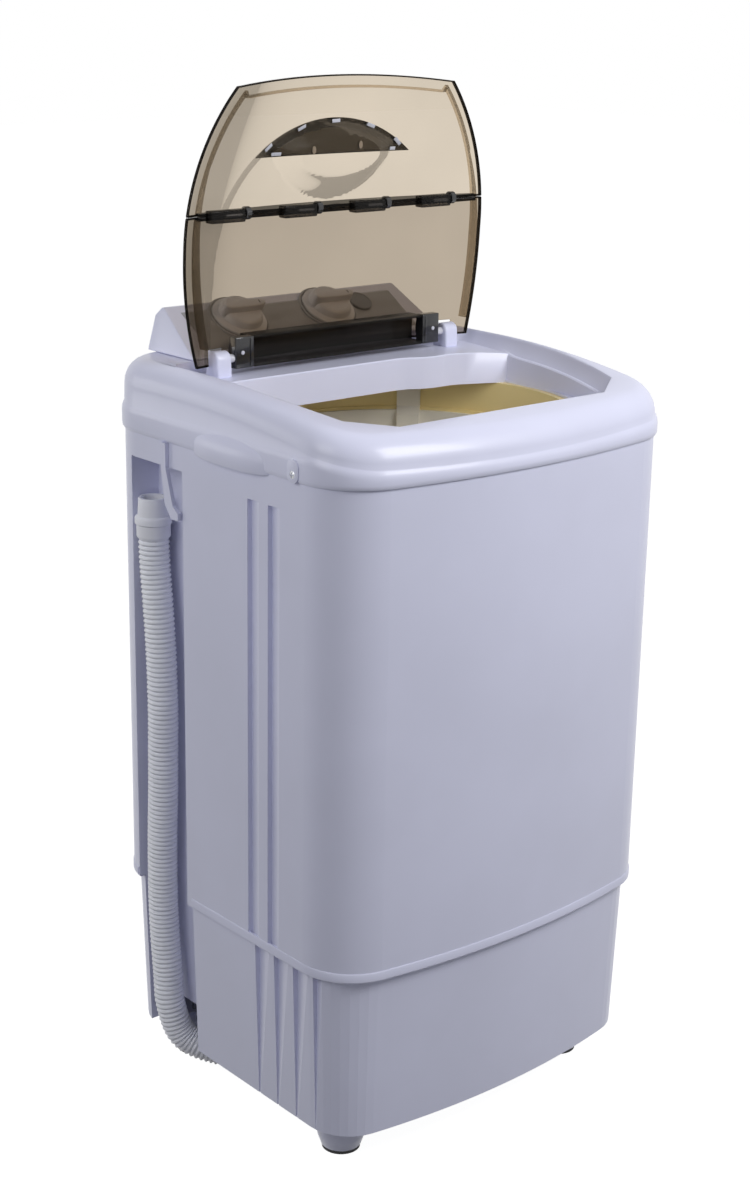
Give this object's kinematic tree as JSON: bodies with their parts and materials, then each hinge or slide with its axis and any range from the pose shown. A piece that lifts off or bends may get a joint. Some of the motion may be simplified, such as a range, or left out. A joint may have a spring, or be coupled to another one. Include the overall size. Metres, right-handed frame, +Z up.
{
  "type": "top-loading washing machine",
  "caption": "Small upright top-loading washing machine with a smoked folding lid, sloping control panel, ribbed drain hose and belt-driven pulsator.",
  "frame": {"origin": "middle of the box round the machine without its hose, at floor level", "axes": "+Z up, -Y out of the front, +X to the right of someone facing the front"},
  "size_m": [0.432, 0.3982, 1.013],
  "materials": {
    "cabinet_plastic": "satin white moulding",
    "tub_plastic": "smooth pale moulding",
    "collar_plastic": "smooth yellowish moulding",
    "smoked_lid": "clear smoked plastic",
    "black_plastic": "gloss black moulding",
    "knob_plastic": "satin grey white",
    "dark_plastic": "dull dark grey",
    "pulsator_plastic": "smooth blue grey",
    "bright_steel": "plated steel",
    "cast_alloy": "as cast",
    "motor_steel": "dark paint",
    "rubber": "dull black",
    "hose_plastic": "milky soft plastic"
  },
  "bodies": {
    "machine": {"cabinet_shell": "cabinet_plastic", "base_skirt": "cabinet_plastic", "top_cover": "cabinet_plastic", "cover_screws": "bright_steel", "console_housing": "cabinet_plastic", "control_panel": "cabinet_plastic", "panel_disc": "dark_plastic", "timer_body": "cabinet_plastic", "selector_body": "cabinet_plastic", "wash_tub": "tub_plastic", "tub_collar": "collar_plastic", "filter_column": "tub_plastic", "bearing_housing": "cast_alloy", "shaft_bearings": "bright_steel", "shaft_seal": "rubber", "drive_belt": "rubber", "motor_plate": "bright_steel", "motor_body": "motor_steel", "motor_grommets": "rubber", "motor_bolts": "bright_steel", "capacitor": "cabinet_plastic", "capacitor_strap": "bright_steel", "drain_valve": "cabinet_plastic", "drain_elbow": "cabinet_plastic", "rear_cover": "cabinet_plastic", "rear_cover_screws": "bright_steel", "hose_hook": "cabinet_plastic", "hose_cuff": "hose_plastic", "drain_hose": "hose_plastic", "feet": "cabinet_plastic", "foot_pads": "rubber", "foot_screws": "bright_steel"},
    "lid": {"lid_rear_panel": "smoked_lid", "lid_hinge_bar": "black_plastic", "lid_hinge_pins": "knob_plastic", "fold_pins": "bright_steel"},
    "lid_flap": {"lid_front_panel": "smoked_lid", "lid_handle": "black_plastic"},
    "timer": {"timer_knob": "knob_plastic"},
    "selector": {"selector_knob": "knob_plastic"},
    "plunger": {"valve_plunger": "dark_plastic"},
    "pulsator_set": {"pulsator": "pulsator_plastic", "pulsator_screw": "bright_steel", "pulsator_shaft": "bright_steel", "driven_pulley": "cast_alloy", "pulley_nut": "bright_steel"},
    "rotor": {"motor_rotor": "bright_steel", "motor_pulley": "bright_steel", "motor_fan": "cabinet_plastic"}
  },
  "joints": [
    {"name": "lid_hinge", "type": "hinge", "parent": "machine", "child": "lid", "pos_m": [0, 0.087, 0.752], "axis": [-1, 0, 0], "range_deg": [-91.3, 0]},
    {"name": "lid_fold", "type": "hinge", "parent": "lid", "child": "lid_flap", "pos_m": [0, 0.078, 0.888], "axis": [1, 0, 0], "range_deg": [0, 172]},
    {"name": "timer_turn", "type": "hinge", "parent": "machine", "child": "timer", "pos_m": [-0.076, 0.151, 0.77455], "axis": [0, -0.5299, 0.848], "range_deg": [-300, 0]},
    {"name": "selector_turn", "type": "hinge", "parent": "machine", "child": "selector", "pos_m": [0.038, 0.151, 0.77455], "axis": [0, -0.5299, 0.848], "range_deg": [-90, 0]},
    {"name": "valve_lift", "type": "slide", "parent": "machine", "child": "plunger", "axis": [0, 0, -1], "range_m": [0, 0.012]},
    {"name": "pulsator_spin", "type": "hinge", "parent": "machine", "child": "pulsator_set", "pos_m": [0, -0.008, 0.072], "axis": [0, 0, 1], "continuous": true},
    {"name": "motor_spin", "type": "hinge", "parent": "machine", "child": "rotor", "pos_m": [0.096, 0.096, 0.072], "axis": [0, 0, 1], "continuous": true}
  ],
  "couplings": [
    {"joint": "motor_spin", "follows": "pulsator_spin", "ratio": 5},
    {"joint": "valve_lift", "follows": "selector_turn", "m_per_rad": -0.0076394}
  ]
}
